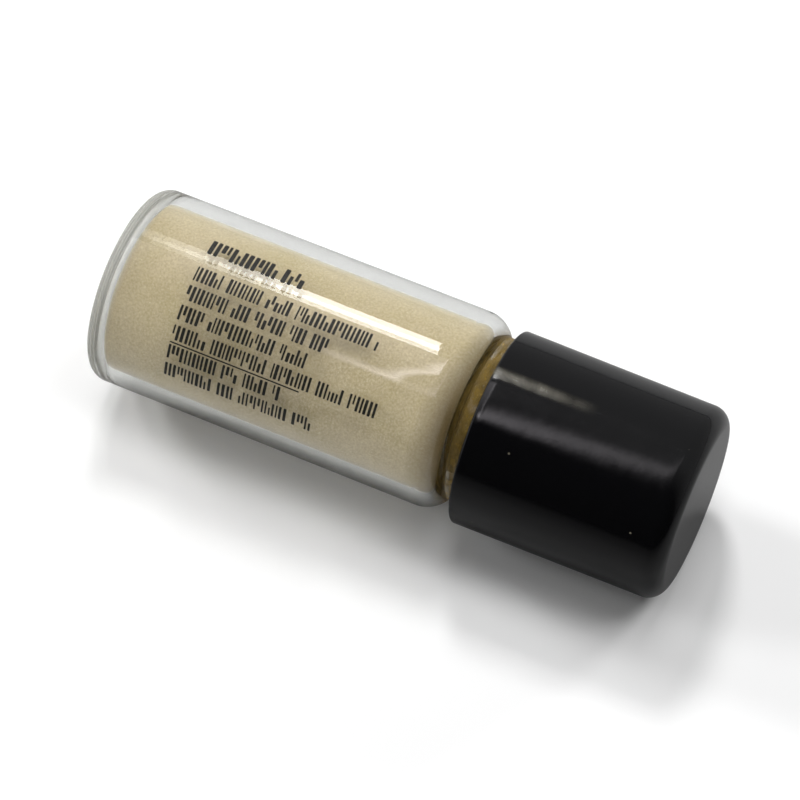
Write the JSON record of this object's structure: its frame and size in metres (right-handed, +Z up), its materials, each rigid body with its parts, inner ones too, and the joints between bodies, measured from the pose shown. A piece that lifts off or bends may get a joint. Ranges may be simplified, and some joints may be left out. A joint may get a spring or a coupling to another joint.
{
  "type": "pigment sample vial",
  "caption": "Small lying cylindrical glass vial full of gold pigment powder, with a smooth black screw cap that unscrews and lifts off its threaded neck.",
  "frame": {"origin": "On the table under the middle of the vial as it lies on its side: the centre of the bounding box's bottom face.", "axes": "+X along the vial's axis, from the glass base towards the closed end of the cap; +Z up; z = 0 is the surface it lies on."},
  "size_m": [0.0454, 0.0152, 0.015],
  "materials": {
    "clear_glass": "clear polished glass",
    "gold_pigment": "fine pearly gold powder",
    "black_cap": "glossy black moulding with fine scuffs",
    "liner_board": "matt foam board",
    "liner_film": "smooth white film"
  },
  "bodies": {
    "vial": {"glass_vial": "clear_glass", "pigment_fill": "gold_pigment"},
    "liner": {"liner_board": "liner_board", "liner_film": "liner_film"},
    "cap": {"screw_cap": "black_cap"}
  },
  "joints": [
    {"name": "cap_rise", "type": "slide", "parent": "vial", "child": "liner", "axis": [1, 0, 0], "range_m": [0, 0.00945]},
    {"name": "cap_turn", "type": "hinge", "parent": "liner", "child": "cap", "pos_m": [0.014, -0.00028, 0.00742], "axis": [1, 0, 0], "range_deg": [0, 1620]}
  ],
  "couplings": [
    {"joint": "cap_turn", "follows": "cap_rise", "rad_per_m": 2992}
  ]
}
